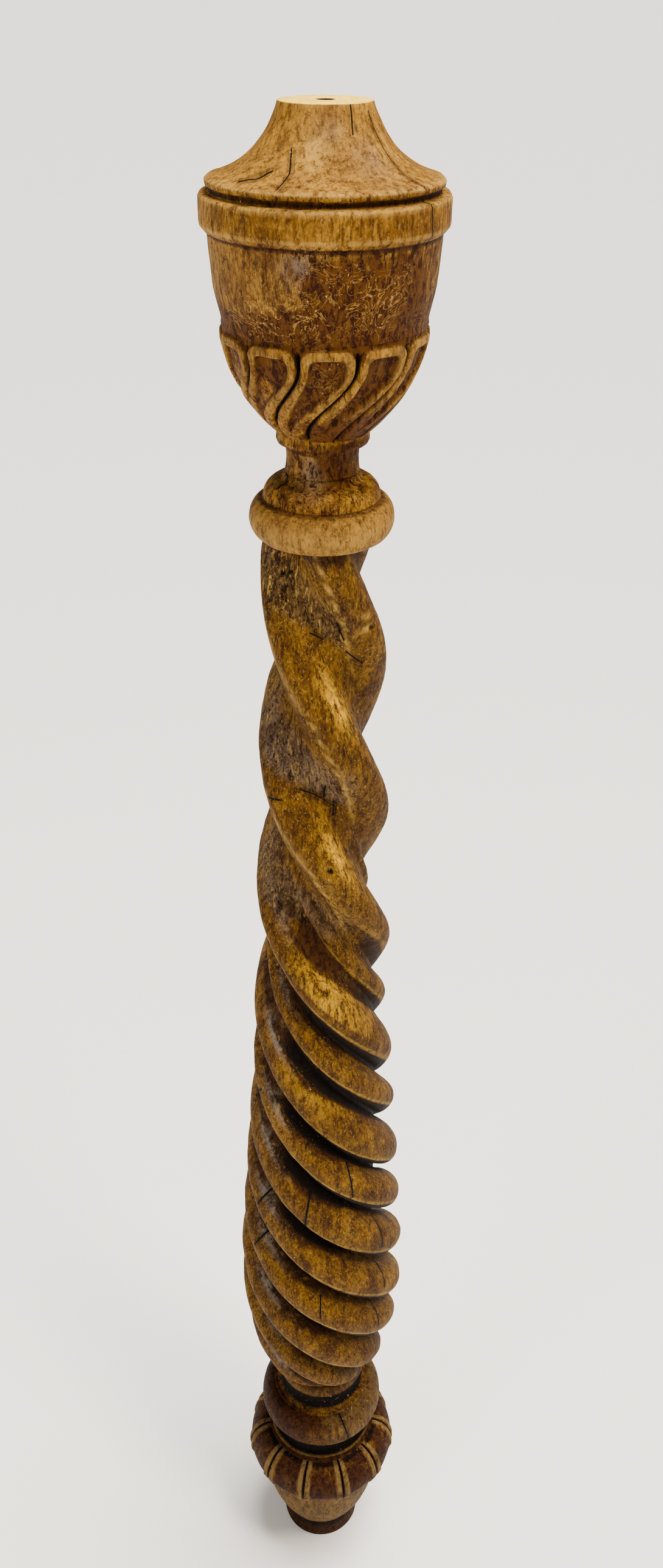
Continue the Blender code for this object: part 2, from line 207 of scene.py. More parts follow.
def old_wood(name, light, dark, stain_and_shade, wear, gilt_and_light=OLD_GILT, dust_and_sheen=GREY_DUST):
    """Old wood with its dirt, painted shade and painted light: noises stretched along the grain, each cut off
    softly at a level, lay one colour after another over mottled brown. The marks say how much: the stain mark
    darkens with stain and painted shade, black with dirt and painted shade, the dust mark greys with dust and
    painted sheen, wear, scratched and sawn lighten, the gold mark gilds with golden tone and painted light,
    chiselled adds gouge strokes, rubbed takes pits and dark flecks away, and crack draws a thin line where
    its side is near 0. The bump follows grain, pits, strokes, cracks.
    """
    material = bpy.data.materials.new(name)
    material.use_nodes = True
    nodes, links = material.node_tree.nodes, material.node_tree.links
    shader = nodes["Principled BSDF"]
    place = nodes.new("ShaderNodeTexCoord").outputs["Object"]

    def stretched(scale, tilt=(0.0, 0.0, 0.0)):
        mapping = nodes.new("ShaderNodeMapping")
        mapping.inputs["Scale"].default_value = scale
        mapping.inputs["Rotation"].default_value = tilt
        links.new(place, mapping.inputs["Vector"])
        return mapping.outputs["Vector"]

    def noise(vector, scale, detail, roughness=0.6, distortion=0.0):
        node = nodes.new("ShaderNodeTexNoise")
        node.inputs["Scale"].default_value = scale
        node.inputs["Detail"].default_value = detail
        node.inputs["Roughness"].default_value = roughness
        node.inputs["Distortion"].default_value = distortion
        links.new(vector, node.inputs["Vector"])
        return node.outputs["Fac"]

    def between(value, low, high):
        node = nodes.new("ShaderNodeMapRange")
        node.interpolation_type = "SMOOTHSTEP"
        node.inputs["From Min"].default_value = low
        node.inputs["From Max"].default_value = high
        links.new(value, node.inputs["Value"])
        return node.outputs["Result"]

    def sums(kind, first, second):
        node = nodes.new("ShaderNodeMath")
        node.operation = kind
        node.use_clamp = kind != "SUBTRACT"
        for socket, value in zip(node.inputs, (first, second)):
            if isinstance(value, (int, float)):
                socket.default_value = value
            else:
                links.new(value, socket)
        return node.outputs["Value"]

    def mixed(amount, first, second):
        first_colour, second_colour, mixed_colour = 6, 7, 2
        node = nodes.new("ShaderNodeMix")
        node.data_type = "RGBA"
        links.new(amount, node.inputs["Factor"])
        for socket, value in ((node.inputs[first_colour], first), (node.inputs[second_colour], second)):
            if isinstance(value, tuple):
                socket.default_value = value + (1.0,)
            else:
                links.new(value, socket)
        return node.outputs[mixed_colour]

    def mark(called):
        node = nodes.new("ShaderNodeAttribute")
        node.attribute_name = called
        return node.outputs["Fac"]

    fibres = noise(stretched((1.0, 1.0, 0.10)), 520.0, 4.0, 0.65, 0.4)
    streaks = noise(stretched((1.0, 1.0, 0.20)), 240.0, 5.0, 0.78, 0.3)
    blotches = noise(stretched((1.0, 1.0, 0.45)), 85.0, 9.0, 0.78, 0.25)
    clouds = noise(stretched((1.0, 1.0, 0.6)), 26.0, 5.0, 0.66, 0.5)
    grit = noise(place, 620.0, 2.0, 0.7)
    flecks = noise(stretched((1.0, 1.0, 0.55)), 700.0, 3.0, 0.70, 0.4)
    pits = noise(stretched((1.0, 1.0, 0.45)), 300.0, 5.0, 0.80, 0.5)
    scuffs = noise(stretched((1.0, 1.0, 1.1)), 62.0, 3.0, 0.58, 2.6)
    strokes = noise(stretched((1.0, 1.0, 0.20), (0.0, -0.5, 0.0)), 400.0, 2.0, 0.60, 0.8)

    colour = mixed(between(blotches, 0.36, 0.64), dark, light)
    colour = mixed(sums("MULTIPLY", between(clouds, 0.50, 0.66), 0.50), colour, light)
    colour = mixed(sums("MULTIPLY", between(clouds, 0.50, 0.36), 0.55), colour, dark)
    colour = mixed(sums("MULTIPLY", between(streaks, 0.50, 0.62), 0.75), colour, dark)
    colour = mixed(sums("MULTIPLY", between(fibres, 0.52, 0.66), 0.70), colour, stain_and_shade)
    # The gold mark lays golden tone, and on the shaft painted light.
    colour = mixed(sums("MULTIPLY", mark("gold_and_light"), between(streaks, 0.62, 0.40)), colour, gilt_and_light)
    # The dust mark lays grey dust, and on the shaft a grey painted sheen.
    dust_and_sheen_cover = sums("MULTIPLY", mark("dust_and_sheen"), between(blotches, 0.30, 0.56))
    colour = mixed(dust_and_sheen_cover, colour, dust_and_sheen)
    unrubbed = sums("SUBTRACT", 1.0, mark("rubbed"))
    dark_pits = sums("MULTIPLY", between(pits, 0.52, 0.60), 0.90)
    colour = mixed(sums("MULTIPLY", dark_pits, unrubbed), colour, stain_and_shade)
    dark_flecks = sums("MULTIPLY", between(flecks, 0.55, 0.63), 0.62)
    colour = mixed(sums("MULTIPLY", dark_flecks, unrubbed), colour, stain_and_shade)
    colour = mixed(sums("MULTIPLY", between(flecks, 0.44, 0.36), 0.28), colour, wear)
    # Where the stain mark is high, stain and painted shade darken the wood, with a ragged edge.
    ragged = between(sums("SUBTRACT", mark("stain_and_shade"), sums("MULTIPLY", blotches, 1.5)), -0.52, -0.12)
    grime_and_shade = mixed(sums("MULTIPLY", between(pits, 0.57, 0.45), 0.85), stain_and_shade, dark)
    colour = mixed(sums("MULTIPLY", ragged, 0.95), colour, grime_and_shade)
    chipped = sums("MULTIPLY", mark("chiselled"), between(strokes, 0.53, 0.60))
    colour = mixed(sums("MULTIPLY", chipped, 0.80), colour, CHISEL_SHADE)
    torn = sums("MULTIPLY", mark("chiselled"), between(strokes, 0.41, 0.34))
    colour = mixed(torn, colour, wear)
    line = sums("MULTIPLY", between(scuffs, 0.470, 0.494), between(scuffs, 0.522, 0.504))
    few = sums("ADD", sums("MULTIPLY", between(clouds, 0.50, 0.64), 0.22), mark("scratched"))
    colour = mixed(sums("MULTIPLY", line, few), colour, wear)
    worn = sums("MULTIPLY", mark("wear"), between(streaks, 0.68, 0.42))
    colour = mixed(worn, colour, wear)
    # The black mark lays black dirt and painted shade.
    colour = mixed(between(mark("black"), 0.15, 0.85), colour, BLACK_DIRT_AND_SHADE)
    off_crack = sums("ABSOLUTE", mark("crack_side"), 0.0)
    crack = sums("MULTIPLY", between(off_crack, 1.15, 0.75), between(mark("crack"), 0.3, 0.7))
    colour = mixed(crack, colour, CRACK_BLACK)
    specks = sums("MULTIPLY", between(grit, 0.67, 0.72), between(clouds, 0.47, 0.62))
    colour = mixed(sums("MULTIPLY", specks, 0.75), colour, PALE_SPECK)
    sawn = mixed(between(fibres, 0.40, 0.70), NEW_WOOD, NEW_WOOD_GRAIN)
    colour = mixed(mark("sawn"), colour, sawn)
    links.new(colour, shader.inputs["Base Color"])

    dullness = nodes.new("ShaderNodeMapRange")
    dullness.inputs["To Min"].default_value = 0.50
    dullness.inputs["To Max"].default_value = 0.90
    links.new(streaks, dullness.inputs["Value"])
    links.new(dullness.outputs["Result"], shader.inputs["Roughness"])
    shader.inputs["Specular IOR Level"].default_value = 0.07

    height = sums("ADD", sums("MULTIPLY", fibres, 0.30), sums("MULTIPLY", streaks, 0.45))
    height = sums("SUBTRACT", height, sums("MULTIPLY", between(pits, 0.52, 0.68), 0.30))
    gouged = sums("MULTIPLY", mark("chiselled"), strokes)
    height = sums("SUBTRACT", height, sums("MULTIPLY", gouged, 1.6))
    height = sums("SUBTRACT", height, sums("MULTIPLY", crack, 0.9))
    bump = nodes.new("ShaderNodeBump")
    bump.inputs["Strength"].default_value = 0.9
    bump.inputs["Distance"].default_value = 0.0016
    links.new(height, bump.inputs["Height"])
    links.new(bump.outputs["Normal"], shader.inputs["Normal"])
    return material


foot_profile = np.concatenate([
    np.array([[0.0345, 0.0000], [0.0357, 0.0005]]),
    straight((0.0357, 0.0005), (0.0362, 0.0020)),
    quarter((0.0362, 0.0020), (0.0335, 0.0240), True, 0.0018),
    straight((0.0335, 0.0240), (0.0372, 0.0262), 0.0008),
    straight((0.0372, 0.0262), (0.0381, 0.0280), 0.0008),
    bowed((0.0381, 0.0280), (0.0552, 0.0966), 0.0040, 0.0019),
])
bulb_foot = (0.0560, 0.0978)
bulb_profile = np.concatenate([
    straight(tuple(foot_profile[-1]), bulb_foot, 0.0005),
    bowed(bulb_foot, (0.0702, 0.1215), 0.0018, 0.0009),
    quarter((0.0702, 0.1215), (0.0505, 0.1510), True, 0.0009),
])
ring_profile = np.concatenate([
    straight((0.0505, 0.1510), (0.0478, 0.1522), 0.0009),
    straight((0.0478, 0.1522), (0.0478, 0.1562), 0.0008),
    quarter((0.0478, 0.1562), (0.0410, 0.1655), False, 0.0013),
    straight((0.0410, 0.1655), (0.0410, 0.1770), 0.0023),
    quarter((0.0410, 0.1770), (0.0559, 0.1920), False, 0.0014),
    quarter((0.0559, 0.1920), (0.0440, 0.2133), True, 0.0013),
    straight((0.0440, 0.2133), (0.0436, 0.2152), 0.0007),
    straight((0.0436, 0.2152), (0.0420, 0.2156), 0.0006),
    bowed((0.0420, 0.2156), (0.0345, 0.2235), -0.0010, 0.0009),
    straight((0.0345, 0.2235), (0.0345, 0.2325), 0.0012),
    quarter((0.0345, 0.2325), (0.0394, 0.2400), False, 0.0009),
    quarter((0.0394, 0.2400), (0.0345, 0.2475), True, 0.0009),
    straight((0.0345, 0.2475), (0.0290, 0.2490), 0.0012),
])
base_profile = np.concatenate([foot_profile, bulb_profile, ring_profile])
bulb_first = len(foot_profile)
bulb_last = bulb_first + len(bulb_profile)

# A gadroon's share runs from 0 to 1 between its two cuts, and the columns of points crowd by the cuts.
HALF_GADROON = np.array([
    0.0, 0.010, 0.019, 0.028, 0.042, 0.062, 0.085, 0.110, 0.132,
    0.146, 0.160, 0.176, 0.205, 0.250, 0.310, 0.375, 0.440,
])
gadroon_shares = np.concatenate([HALF_GADROON, [0.5], 1.0 - HALF_GADROON[:0:-1]])
base_share = np.tile(gadroon_shares, GADROONS)
base_gadroon = np.repeat(np.arange(GADROONS), len(gadroon_shares))
base_angle = GADROON_START + (base_gadroon + base_share) * 360.0 / GADROONS
from_cut = np.minimum(base_share, 1.0 - base_share)

# Each gadroon is a panel, sunk a little inside its fillets, between two deep and narrow cuts.
CUT_DEPTH, CUT_SHARE = 0.0034, 0.026
PANEL_DEPTH, PANEL_SHARE = 0.0016, 0.146
up_bulb = np.zeros(len(base_profile))
up_bulb[bulb_first:bulb_last] = np.linspace(0.0, 1.0, bulb_last - bulb_first)
in_bulb = (up_bulb > 0.0).astype(float)
cut_run = in_bulb * eased((up_bulb - 0.10) / 0.05)
panel_run = in_bulb * eased((up_bulb - 0.03) / 0.05)
cut_form = bell(from_cut, 0.0, CUT_SHARE)
panel_form = eased((from_cut - PANEL_SHARE) / 0.035) * (0.75 + 0.25 * np.sin(np.pi * base_share))
relief = -CUT_DEPTH * cut_run[:, None] * cut_form - PANEL_DEPTH * panel_run[:, None] * panel_form

base_normal = profile_normals(base_profile)
plain = on_grid(base_profile[:, :1], base_angle, base_profile[:, 1:])
relief += 0.00025 * unevenness(plain, 0.012, 11) + 0.00012 * unevenness(plain, 0.004, 12)
standing = eased(base_profile[:, 1] / 0.002)
relief *= standing[:, None]

# The wood has cracked as it dried: each crack is its line of (angle, height) stations and its half width.
RING_CHECK = [([(22.5, 0.2125), (24.5, 0.2040), (28.1, 0.1860)], 0.0008)]
base_crack_side, base_crack = crack_marks(base_angle, plain[..., 2], base_profile[:, :1], RING_CHECK)

base_points = on_grid(
    base_profile[:, :1] + relief * base_normal[:, :1],
    base_angle,
    base_profile[:, 1:] + relief * base_normal[:, 1:],
)

# Dirt and painted shade darken the two coves and the foot under the bowl, and the lower ring is stained
# red on its left half.
base_height = base_profile[:, 1:] + 0.0 * relief
hollow = tent(base_height, 0.1660, 0.0120) + tent(base_height, 0.2250, 0.0080)
undercut = eased((base_height - 0.0060) / 0.0160) * (base_height < 0.0265)
deep = belt(base_height, 0.1562, 0.1815, 0.0006, 0.0040)
deep = deep + belt(base_height, 0.2162, 0.2350, 0.0040, 0.0030)
base_around = facing(base_angle)
base_front = eased((170.0 - np.abs(base_around)) / 60.0)
on_ring = belt(base_height, 0.176, 0.217, 0.004, 0.004) * base_front
ring_red = on_ring * eased((4.0 - base_around) / 45.0)
base_stain_and_shade = np.clip(
    0.46 * panel_run[:, None] * eased((from_cut - PANEL_SHARE) / 0.05)
    + 0.9 * hollow
    + 1.0 * (base_height < 0.0262)
    + 0.70 * ring_red
    + 0.38 * eased((base_height - 0.1990) / 0.0080) * (base_height < 0.2145)
    + 0.55 * (base_height > 0.1505) * (base_height < 0.1548)
    + 0.22 * eased((base_height - 0.2120) / 0.0030)
    + 0.12,
    0.0,
    1.0,
)
# Black in the cuts, in the coves, under the bowl and in a crescent at the top of each panel, under the
# fillet: painted shade, with dirt.
base_black = np.clip(
    cut_run[:, None] * bell(from_cut, 0.0, 1.25 * CUT_SHARE)
    + 0.95 * deep
    + 0.75 * undercut
    + 0.7 * panel_form * in_bulb[:, None] * eased((up_bulb[:, None] - 0.88) / 0.08),
    0.0,
    1.0,
)

# The sharp edges, the gadroons' fillets, the bowl and the right half of the ring are rubbed paler.
ridge = bell(base_height, 0.0976, 0.0008)
lips = sum(bell(base_height, lip, 0.0009) for lip in (0.0283, 0.1556, 0.1836))
off_panel = 1.0 - eased((from_cut - PANEL_SHARE + 0.01) / 0.05)
fillets = in_bulb[:, None] * (from_cut > 1.5 * CUT_SHARE) * off_panel
bowl = belt(base_height, 0.0290, 0.0975, 0.004, 0.004)
ring_olive = on_ring * eased((base_around + 10.0) / 30.0)
base_wear = np.clip(
    0.45 * ridge
    + 0.5 * lips
    + 0.55 * fillets
    + 0.12 * eased((base_height - 0.236) / 0.004)
    + 0.30 * bowl
    + 0.28 * ring_olive,
    0.0,
    1.0,
)
base = carved_skin("bulb_and_foot", base_points, {
    "stain_and_shade": base_stain_and_shade,
    "wear": base_wear,
    "black": base_black,
    "crack": base_crack,
    "crack_side": base_crack_side,
})
base.data.materials.append(old_wood(
    "dark_stained_wood",
    light=(0.124, 0.056, 0.0036),
    dark=(0.034, 0.0092, 0.0006),
    stain_and_shade=(0.0120, 0.0015, 0.0002),
    wear=(0.160, 0.108, 0.036),
))
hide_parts("column")
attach(base, "root")

# The twisted shaft, between the bead and the upper ring, is the middle of the timber, carved by hand with
# gouges. Three strands wind down all of it, and a second set grows in the hollows between them. The hollows
# keep their chisel marks and grey dirt, and the edges are worn pale.

SHAFT_FOOT, SHAFT_TOP = 0.2500, 1.0620
BEAD_HEIGHTS = [0.2440, 0.2465]
RING_HEIGHT, SHAFT_RINGS = 1.0655, 452
STRANDS = 3
TWIST_START = -5.0
PITCH_TOP, PITCH_FOOT = 0.356, 0.302

# Stations up the shaft: (height, radius), or (height, share) with a share of the turn between two strands.
CREST_RADII = [
    (0.250, 0.0385), (0.272, 0.0535), (0.320, 0.0658), (0.385, 0.0700), (0.500, 0.0640),
    (0.620, 0.0555), (0.740, 0.0503), (0.860, 0.0461), (0.960, 0.0420), (1.062, 0.0385),
]
GROOVE_RADII = [
    (0.250, 0.0345), (0.320, 0.0480), (0.440, 0.0435), (0.540, 0.0425), (0.680, 0.0390),
    (0.740, 0.0345), (0.800, 0.0290), (0.860, 0.0277), (0.920, 0.0252), (0.990, 0.0222), (1.062, 0.0200),
]
UPPER_SHARES = [
    (0.250, 0.20), (0.372, 0.22), (0.475, 0.275), (0.580, 0.325), (0.690, 0.335), (0.880, 0.46),
    (1.062, 0.46),
]
LOWER_SHARES = [(0.250, 0.28), (0.400, 0.27), (0.500, 0.24), (0.690, 0.27), (0.880, 0.46), (1.062, 0.46)]
SECOND_CREST = 0.48
FLANK_FOOT = 0.92
GROWTH_START, GROWTH_END = 0.880, 0.590
BLUNT_START, BLUNT_END = 0.820, 0.500
SHARP_UPPER, BLUNT_UPPER = 1.42, 0.45
SHARP_LOWER, BLUNT_LOWER = 1.30, 0.32
SHARP_LEAD = 6.6
SHAFT_SUNK, FOOT_CAP_RADIUS = 0.0003, 0.0335
HOLLOW_DEPTH, HOLLOW_WIDTH = 0.0006, 0.36


def through(stations, at):
    """A smooth curve through (height, value) stations: between two of them a cubic, whose slope at each
    station is that of the line between its neighbours."""
    x, y = np.array(stations).T
    first = np.maximum(np.arange(len(x)) - 1, 0)
    last = np.minimum(np.arange(len(x)) + 1, len(x) - 1)
    slope = (y[last] - y[first]) / (x[last] - x[first])
    k = np.clip(np.searchsorted(x, at, side="right") - 1, 0, len(x) - 2)
    span = x[k + 1] - x[k]
    t = np.clip((at - x[k]) / span, 0.0, 1.0)
    return (
        y[k] * (1 + 2 * t) * (1 - t) ** 2
        + slope[k] * span * t * (1 - t) ** 2
        + y[k + 1] * t * t * (3 - 2 * t)
        + slope[k + 1] * span * t * t * (t - 1)
    )


def twist(height):
    """The angle of the first strand's crest: the turn for each metre down grows evenly from top to foot, so
    the angle is a straight term plus one with the square of the way down."""
    down = SHAFT_TOP - height
    rate_top, rate_foot = 360.0 / PITCH_TOP, 360.0 / PITCH_FOOT
    growth = (rate_foot - rate_top) * down**2 / (2.0 * (SHAFT_TOP - SHAFT_FOOT))
    return TWIST_START + rate_top * down + growth


def flank(share, power):
    """The height of a strand's flank, from 1 at its crest to 0 at its foot: a cosine, raised to a power."""
    return np.cos(0.5 * np.pi * np.clip(share / FLANK_FOOT, 0.0, 1.0)) ** power


def patch(angle, height, at_angle, at_height, half_turn, half_height):
    """A soft oval patch on the surface: a bell curve of the angle and of the height."""
    off = facing(angle - at_angle)
    return np.exp(-((off / half_turn) ** 2) - ((height - at_height) / half_height) ** 2)


def patches(angle, height, places):
    """Oval patches added up. A place is a weight, an angle, a height, a half turn and a half height."""
    return sum(weight * patch(angle, height, *place) for weight, *place in places)


# The rings run on inside the bead below and the ring above, where they are hidden.
shaft_height = np.concatenate([BEAD_HEIGHTS, np.linspace(SHAFT_FOOT, RING_HEIGHT, SHAFT_RINGS)])[:, None]
flank_steps = np.concatenate([np.linspace(0.0, 0.55, 7), np.linspace(0.60, 0.92, 9), [0.97]])
falling_steps = flank_steps
rising_steps = np.concatenate([[0.0], 1.0 - flank_steps[:0:-1]])

# A share runs from 0 at one strand's crest to 1 at the next, and the second set stands in the gap between.
at = np.clip(shaft_height, SHAFT_FOOT, SHAFT_TOP)
crest, groove = through(CREST_RADII, at), through(GROOVE_RADII, at)
grown = eased((GROWTH_START - at) / (GROWTH_START - GROWTH_END))
blunting = eased((BLUNT_START - at) / (BLUNT_START - BLUNT_END))
upper_power = SHARP_UPPER + (BLUNT_UPPER - SHARP_UPPER) * blunting
lower_power = SHARP_LOWER + (BLUNT_LOWER - SHARP_LOWER) * blunting
gap_start = through(UPPER_SHARES, at)
gap_end = 1.0 - through(LOWER_SHARES, at)
second = gap_start + SECOND_CREST * (gap_end - gap_start)
shares, stands = [], []
for low, high, steps, top, power in (
    (0.0 * gap_start, gap_start, falling_steps, 1.0, upper_power),
    (gap_start, second, rising_steps, grown, lower_power),
    (second, gap_end, falling_steps, grown, upper_power),
    (gap_end, 1.0 + 0.0 * gap_end, rising_steps, 1.0, lower_power),
):
    shares.append(low + (high - low) * steps)
    from_crest = steps if steps is falling_steps else 1.0 - steps
    stands.append(top * flank(from_crest, power))
share = np.concatenate(shares, axis=1)
stand = np.concatenate(stands, axis=1)
columns = share.shape[1]
share = np.tile(share, STRANDS)
stand = np.tile(stand, STRANDS)
strand = np.repeat(np.arange(STRANDS), columns)
shaft_angle = twist(shaft_height) + SHARP_LEAD * (1.0 - blunting) + (strand + share) * 360.0 / STRANDS
shaft_radius = groove + (crest - groove) * stand
shaft_radius = np.where(
    shaft_height < SHAFT_FOOT, np.minimum(shaft_radius, FOOT_CAP_RADIUS), shaft_radius
)

# On the lower part each strand has a sharp pale edge, and under it a dark channel of dirt and of the painted
# shadow the strand casts on the one below. The painted shadow is wider on the left, where a soft painted
# penumbra runs below it.
lower_part = eased((0.860 - shaft_height) / 0.200)
around = facing(shaft_angle)
wide_shadow = eased((35.0 - around) / 55.0) * eased((around + 130.0) / 40.0)
edge_main = bell(share, 0.874, 0.012) * lower_part
edge_second = bell(share, second - 0.095, 0.012) * grown
main_low = 0.725 - 0.055 * wide_shadow
second_low = 0.245 - 0.050 * wide_shadow
main_dark = eased((share - main_low + 0.025) / 0.05) * eased((0.858 - share) / 0.012) * lower_part
second_dark = eased((share - second_low + 0.025) / 0.05) * eased((second - 0.111 - share) / 0.012) * grown
dark_channel = np.clip(main_dark + second_dark, 0.0, 1.0)
main_soft = eased((share - main_low + 0.10) / 0.10) * eased((0.858 - share) / 0.012) * lower_part
second_soft = eased((share - second_low + 0.10) / 0.10) * eased((second - 0.111 - share) / 0.012) * grown
channel_penumbra = wide_shadow * np.clip(main_soft + second_soft, 0.0, 1.0)

# Under each ridge of the soft upper strands is a rough hollow. Its lower border runs flatter than they do.
soft_part = eased((shaft_height - 0.740) / 0.080)
border = np.clip(0.22 + 0.0057 * (around + 39.0), 0.06, 0.62)
shaft_front = eased((172.0 - np.abs(around)) / 25.0)
seen = eased((46.0 - around) / 28.0) * eased((around + 110.0) / 25.0)
seen += 0.35 * eased((np.abs(around) - 105.0) / 25.0) * shaft_front
shaft_plain = on_grid(shaft_radius, shaft_angle, shaft_height + 0.0 * share)
swirl = shaft_plain * np.array([1.0, 1.0, 0.35])
strokes = shaft_plain * np.array([1.0, 1.0, 0.30])
hollow_mark = eased((share - border) / 0.05) * eased((border + HOLLOW_WIDTH - share) / 0.22)
hollow_mark = hollow_mark * soft_part * seen
rough = (
    0.00045 * unevenness(shaft_plain, 0.018, 21)
    + 0.00022 * unevenness(swirl, 0.0060, 22)
    + 0.00016 * unevenness(swirl, 0.0028, 23)
)
gouged = 0.0007 * unevenness(strokes, 0.0045, 24)
shaft_relief = rough - SHAFT_SUNK + hollow_mark * (gouged - HOLLOW_DEPTH)

SHAFT_CHECKS = [
    ([(22.2, 0.5533), (23.6, 0.5254)], 0.0007),
    ([(-9.6, 0.5285), (-12.9, 0.4930)], 0.0008),
    ([(50.7, 0.4771), (48.7, 0.4516)], 0.0008),
    ([(53.9, 0.4173), (50.7, 0.4006)], 0.0007),
    ([(-0.8, 0.4102), (-0.7, 0.3924)], 0.0006),
    ([(47.6, 0.3710), (45.3, 0.3556)], 0.0008),
    ([(-44.2, 0.5257), (-54.3, 0.4969)], 0.0008),
    ([(-44.7, 0.4825), (-56.2, 0.4468)], 0.0008),
    ([(-60.8, 0.6136), (-80.0, 0.5900)], 0.0008),
    ([(2.7, 0.8905), (0.7, 0.8838)], 0.0005),
    ([(16.0, 0.8787), (14.5, 0.8709)], 0.0005),
    ([(-52.5, 0.8837), (-43.2, 0.8846)], 0.0006),
    ([(18.5, 1.0110), (27.2, 1.0007)], 0.0004),
    ([(36.5, 0.9887), (49.8, 0.9822)], 0.0004),
    ([(-16.0, 1.0028), (-2.0, 0.9985)], 0.0003),
    ([(-26.0, 0.8908), (-17.0, 0.8880), (12.0, 0.8776)], 0.0003),
]
shaft_crack_side, shaft_crack = crack_marks(shaft_angle, shaft_plain[..., 2], shaft_radius, SHAFT_CHECKS)

# Small holes, two pale chips by the one on the right, and the knot round the two on the left.
HOLE_DEPTH = 0.0022
HOLES = [
    (1.9, 7.2, 0.8354, 2.4, 0.0017),
    (1.0, 50.3, 1.0080, 3.2, 0.0022),
    (1.3, -64.5, 1.0385, 3.2, 0.0020),
    (1.3, -57.0, 1.0402, 2.6, 0.0014),
]
CHIPS = [(1.0, 45.5, 1.0082, 3.4, 0.0022), (1.0, 43.0, 1.0175, 3.0, 0.0020)]
small_holes = np.clip(patches(shaft_angle, shaft_height, HOLES), 0.0, 1.0)
chip = patches(shaft_angle, shaft_height, CHIPS)
knot = patch(shaft_angle, shaft_height, -60.0, 1.0390, 13.0, 0.0060)
shaft_relief -= HOLE_DEPTH * small_holes
shaft_points = on_grid(shaft_radius + shaft_relief, shaft_angle, shaft_height + 0.0 * share)

# Stain, black dirt and painted shadow fill the channels, painted shade darkens the shaft just under the ring
# and in the small holes, the shaft is darker towards its foot, and the edges and soft ridges are worn pale.
foot_dark = eased((0.300 - shaft_height) / 0.060)
under_ring = eased((shaft_height - 1.0480) / 0.0120)
shaft_stain_and_shade = np.clip(
    1.0 * dark_channel + 0.50 * channel_penumbra + 0.25 * foot_dark + 0.5 * under_ring + 0.14, 0.0, 1.0
)
shaft_black = np.clip(0.72 * eased((dark_channel - 0.25) / 0.60) * lower_part + small_holes, 0.0, 1.0)
ridge_share = np.clip(0.935 - 0.0052 * np.clip(around + 14.0, 0.0, 60.0), 0.60, 0.935)
ridge_line = bell(share, ridge_share, 0.022) * soft_part * eased((60.0 - around) / 30.0) * shaft_front
shaft_wear = np.clip(0.75 * edge_main + 0.75 * edge_second + 0.75 * ridge_line + 1.3 * chip, 0.0, 1.0)

# Yellow painted light on the faces near the middle, and a grey painted sheen in the channels on the left.
painted_light_near = np.exp(-(((share - 0.22) / 0.10) ** 2) - ((around - 14.0) / 17.0) ** 2) * soft_part
painted_light_low = np.exp(-((around - 5.0) / 30.0) ** 2) * (1.0 - soft_part) * eased((shaft_height - 0.600) / 0.060)
top_hollow = eased((shaft_height - 0.975) / 0.020)
left_sheen = eased((-30.0 - around) / 18.0) * eased((around + 120.0) / 40.0) * lower_part
painted_sheen = (
    np.exp(-(((share - 0.655) / 0.040) ** 2) - ((around + 46.0) / 14.0) ** 2)
    + np.exp(-(((share - 0.190) / 0.040) ** 2) - ((around + 48.0) / 15.0) ** 2)
) * lower_part
# Grey dust in the hollows, and the grey painted sheen on the left.
shaft_dust_and_sheen = (0.34 - 0.18 * top_hollow) * hollow_mark + 1.25 * painted_sheen + 0.25 * left_sheen * dark_channel
shaft_gouged = (0.42 + 0.38 * top_hollow) * hollow_mark + 1.2 * knot + 0.45 * painted_sheen
shaft = carved_skin("twisted_shaft", shaft_points, {
    "stain_and_shade": shaft_stain_and_shade * (1.0 - 0.5 * left_sheen),
    "wear": shaft_wear,
    "black": shaft_black * (1.0 - 0.6 * left_sheen),
    "dust_and_sheen": np.clip(shaft_dust_and_sheen, 0.0, 1.0),
    "gold_and_light": np.clip(1.0 * painted_light_near + 0.60 * painted_light_low * (share < 0.25), 0.0, 1.0),
    "chiselled": np.clip(shaft_gouged, 0.0, 1.0),
    "rubbed": np.clip(0.55 * lower_part + 0.45 * soft_part * (1.0 - hollow_mark), 0.0, 1.0),
    "crack": shaft_crack,
    "crack_side": shaft_crack_side,
})
shaft.data.materials.append(old_wood(
    "weathered_wood",
    light=(0.152, 0.070, 0.0032),
    dark=(0.037, 0.0115, 0.0005),
    stain_and_shade=(0.0100, 0.0020, 0.0002),
    wear=(0.380, 0.230, 0.046),
    gilt_and_light=(0.620, 0.325, 0.014),
    dust_and_sheen=(0.170, 0.140, 0.118),
))
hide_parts("column")
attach(shaft, "root")

# The urn with its ring, neck and collar below, and its band and hollow cap above, up to the sawn top.
# It is the top end of the timber: turned, then the loops cut into the urn's lower half with a veiner and a
# gouge. The cap was sawn off not long ago, so the top face is bright new wood round a small drilled hole.

